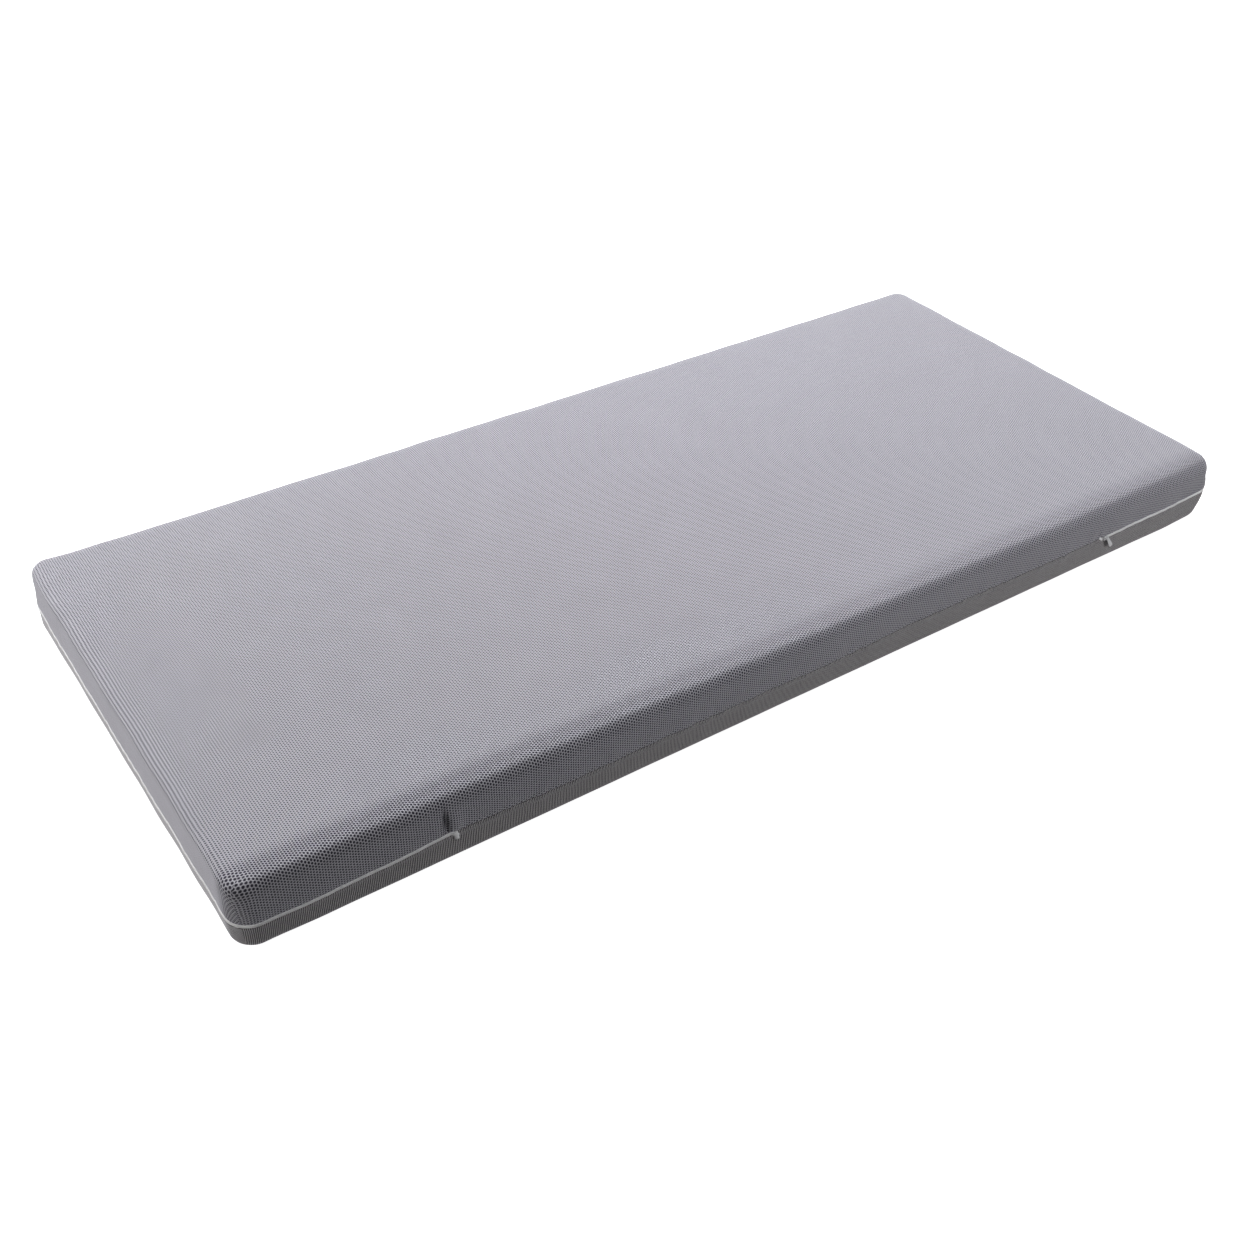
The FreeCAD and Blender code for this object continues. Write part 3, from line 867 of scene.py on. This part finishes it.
def stretch_and_shade_on(obj):
    """How wide the holes open at each point, which spreads or shrinks their painted shade: widest along the
    top front edge and in the pucker beside the seam's left end, narrowest on the ends, which paints them
    lighter.
    """
    x, y, z = np.array([v.co for v in obj.data.vertices]).T
    front = fade(-y, HALF_Y - 0.020, HALF_Y + 0.010)
    # Along the top front edge the holes open wider: partly real stretch over the foam edge, partly painted
    # shade along the edge.
    edge = np.maximum(bump_at(z, 0.121, 0.008) * front,
                      bump_at(y, -(WIDTH / 2 - 0.030), 0.013) * fade(z, 0.118, 0.126))
    # painted light: the holes close up on the two ends, so their shade shows less there, as at a glancing
    # view
    ends = (fade(np.abs(x), LENGTH / 2 - 0.014, LENGTH / 2 - 0.004)
            * fade(z, THICKNESS - 0.004, THICKNESS - 0.014) * (1 - front))
    # painted shade: the holes open wider in the groove of the pucker beside the seam's left end
    pucker = bump_at(x, SEAM_LEFT_X - 0.011, 0.0035) * bump_at(z, 0.086, 0.016) * front
    # On the front the holes open wider, more towards the left end, which darkens the front most at the
    # left.
    front_opening = (FRONT_OPENING_RIGHT + (FRONT_OPENING_LEFT - FRONT_OPENING_RIGHT) * fade(x, *FRONT_OPENING_SPAN)) * front
    stretch_and_shade = 1 + EDGE_STRETCH_AND_SHADE * edge + front_opening + PUCKER_PAINTED_SHADE * pucker + ENDS_PAINTED_LIGHT * ends
    obj.data.attributes.new("stretch_and_shade", "FLOAT", "POINT").data.foreach_set("value", stretch_and_shade.astype(np.float32))


def lined(obj, thick):
    """Gives a one-layer cloth its thickness, inwards."""
    solid = obj.modifiers.new("thickness", "SOLIDIFY")
    solid.thickness, solid.offset = thick, -1.0
    return obj


def dressed(obj, slot, nodes, folds=False):
    """Paints a piece and hides the CAD nodes it stands for; a piece marked folds has its placement baked
    into its mesh, and any other is tied to the base body.
    """
    if slot.startswith("air_mesh"):
        stretch_and_shade_on(obj)
    obj.data.materials.clear()
    obj.data.materials.append(MATERIALS[slot])
    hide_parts(*nodes)
    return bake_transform(obj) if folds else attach(obj, "base")


# ---------------------------------------------------------------- the pieces


top = dressed(lined(upper_shell(), CLOTH_THICK), "air_mesh",
              ["cover_top", "cover_top_fold_strip"], folds=True)
bottom = dressed(lined(lower_shell(), CLOTH_THICK), "air_mesh_lower", ["cover_bottom"])
memory = dressed(
    foam_block("memory_foam_block", FOAM_BOND + BOND_GAP, FOAM_HIGH, FOAM_BOND_R, FOAM_TOP_R,
               FOAM_CROWN, 41),
    "memory_foam", ["memory_foam_layer"])
support = dressed(
    foam_block("support_foam_block", FOAM_LOW, FOAM_BOND, FOAM_BOTTOM_R, FOAM_BOND_R, 0.0, 43),
    "support_foam", ["support_foam_layer"])
tape_top = dressed(tape("zip_tape_above", 1), "zip_tape",
                   ["zip_tape_upper_front", "zip_tape_upper_rear"], folds=True)
tape_low = dressed(tape("zip_tape_below", -1), "zip_tape", ["zip_tape_lower"])
dressed(coil("zip_teeth_above", 1, 0.0), "zip_coil",
        ["zip_coil_upper_front", "zip_coil_upper_rear"], folds=True)
dressed(coil("zip_teeth_below", -1, TOOTH_PITCH / 2), "zip_coil", ["zip_coil_lower"])
tail_left = dressed(tape_tail_left(), "zip_tape", ["zip_tape_tail_left"])
tail_right = dressed(tape_tail_right(), "zip_tape", ["zip_tape_tail_right"])
allowance = dressed(seam_allowance(), "air_mesh_lower", ["front_seam_allowance"])
corners_top = dressed(corner_allowances("corner_allowances_upper", *UPPER_CORNER_SEAM), "air_mesh",
                      ["corner_seam_allowances_top"], folds=True)
corners_low = dressed(corner_allowances("corner_allowances_lower", *LOWER_CORNER_SEAM), "air_mesh_lower",
                      ["corner_seam_allowances_bottom"])
dressed(stitches(), "thread", ["front_seam_thread"])

METAL_EDGE_R = 0.00022

for node in ("zip_slider_body", "zip_slider_bridge", "zip_puller", "zip_top_stops", "zip_bottom_stop"):
    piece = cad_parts[node]
    piece.data.materials.clear()
    piece.data.materials.append(MATERIALS["zip_metal"])
    rounding = piece.modifiers.new("rounded edges", "BEVEL")
    rounding.width, rounding.segments, rounding.limit_method = METAL_EDGE_R, 2, "ANGLE"


# ---------------------------------------------------------------- floor, light and camera


def make_studio():
    """A white floor, and far white walls that only the camera sees."""
    half, high, under = 80.0, 45.0, -0.0006
    foot = [(-half, -half, under), (half, -half, under), (half, half, under), (-half, half, under)]
    rim = [(x, y, high) for x, y, _ in foot]
    sides = [(k, (k + 1) % 4, 4 + (k + 1) % 4, 4 + k) for k in range(4)]
    m = Shader("pale_floor", (0.55, 0.55, 0.55), {
        "Roughness": 0.9, "Specular IOR Level": 0.0,
        "Emission Color": (1, 1, 1, 1), "Emission Strength": 0.95})
    for name, faces in (("floor", [(0, 1, 2, 3)]), ("backdrop", sides)):
        mesh = bpy.data.meshes.new(name)
        mesh.from_pydata(foot + rim if name == "backdrop" else foot, [], faces)
        plane = bpy.data.objects.new(name, mesh)
        bpy.context.scene.collection.objects.link(plane)
        mesh.materials.append(m.material)
        plane.visible_diffuse = False
        plane.visible_glossy = False
        plane.visible_shadow = name == "floor"


def area_light(name, at, aim, size, power, colour=(1, 1, 1)):
    """A soft rectangular lamp at one point that faces another."""
    lamp = bpy.data.lights.new(name, "AREA")
    lamp.shape, lamp.size, lamp.size_y = "RECTANGLE", size[0], size[1]
    lamp.energy, lamp.color = power, colour
    obj = bpy.data.objects.new(name, lamp)
    bpy.context.scene.collection.objects.link(obj)
    obj.location = at
    obj.rotation_mode = "QUATERNION"
    obj.rotation_quaternion = (Vector(aim) - Vector(at)).to_track_quat("-Z", "Y")


def make_camera():
    """The camera stands off the near left corner, a little below head height."""
    azimuth, elevation, roll = (math.radians(v) for v in (-34.80, 37.66, 1.05))
    back = Vector((math.sin(azimuth) * math.cos(elevation), -math.cos(azimuth) * math.cos(elevation),
                   math.sin(elevation)))
    right = Vector((math.cos(azimuth), math.sin(azimuth), 0))
    up = back.cross(right)
    right, up = right * math.cos(roll) + up * math.sin(roll), up * math.cos(roll) - right * math.sin(roll)
    camera = bpy.data.objects.new("camera", bpy.data.cameras.new("camera"))
    camera.data.lens, camera.data.sensor_width = 42.98, 36.0
    turned = Matrix((right, up, back)).transposed().to_4x4()
    camera.matrix_world = Matrix.Translation((-1.3273, -1.7978, 1.5932)) @ turned
    bpy.context.scene.collection.objects.link(camera)
    bpy.context.scene.camera = camera


make_studio()
LARGE_LAMP, FRONT_LAMP, LOW_LAMP = (1.8, 1.2), (1.6, 0.9), (1.2, 0.6)
COOL_LIGHT, WARM_LIGHT = (0.98, 0.98, 1.0), (1.0, 0.985, 0.96)
area_light("key", (-2.0, 3.0, 2.4), (0.0, 0.0, 0.1), LARGE_LAMP, 96, COOL_LIGHT)
area_light("back_middle", (0.2, 3.1, 2.5), (0.1, 0.0, 0.1), LARGE_LAMP, 92, COOL_LIGHT)
area_light("back_right", (2.4, 2.4, 1.9), (0.4, 0.1, 0.1), LARGE_LAMP, 74, COOL_LIGHT)
area_light("overhead", (0.5, 0.2, 3.0), (0.3, 0.0, 0.1), LARGE_LAMP, 36, COOL_LIGHT)
area_light("left_soft", (-3.0, 0.2, 0.6), (-0.95, 0.0, 0.08), LOW_LAMP, 29, WARM_LIGHT)
area_light("right_fill", (1.9, -2.8, 1.0), (0.7, -0.45, 0.08), FRONT_LAMP, 46)
area_light("front_fill", (-0.1, -3.0, 1.2), (-0.1, -0.45, 0.08), FRONT_LAMP, 8)

world = bpy.data.worlds.new("studio")
world.use_nodes = True
world.node_tree.nodes["Background"].inputs["Color"].default_value = (1.0, 0.985, 0.97, 1)
world.node_tree.nodes["Background"].inputs["Strength"].default_value = 0.104
bpy.context.scene.world = world
bpy.context.scene.view_settings.view_transform = "Standard"

make_camera()
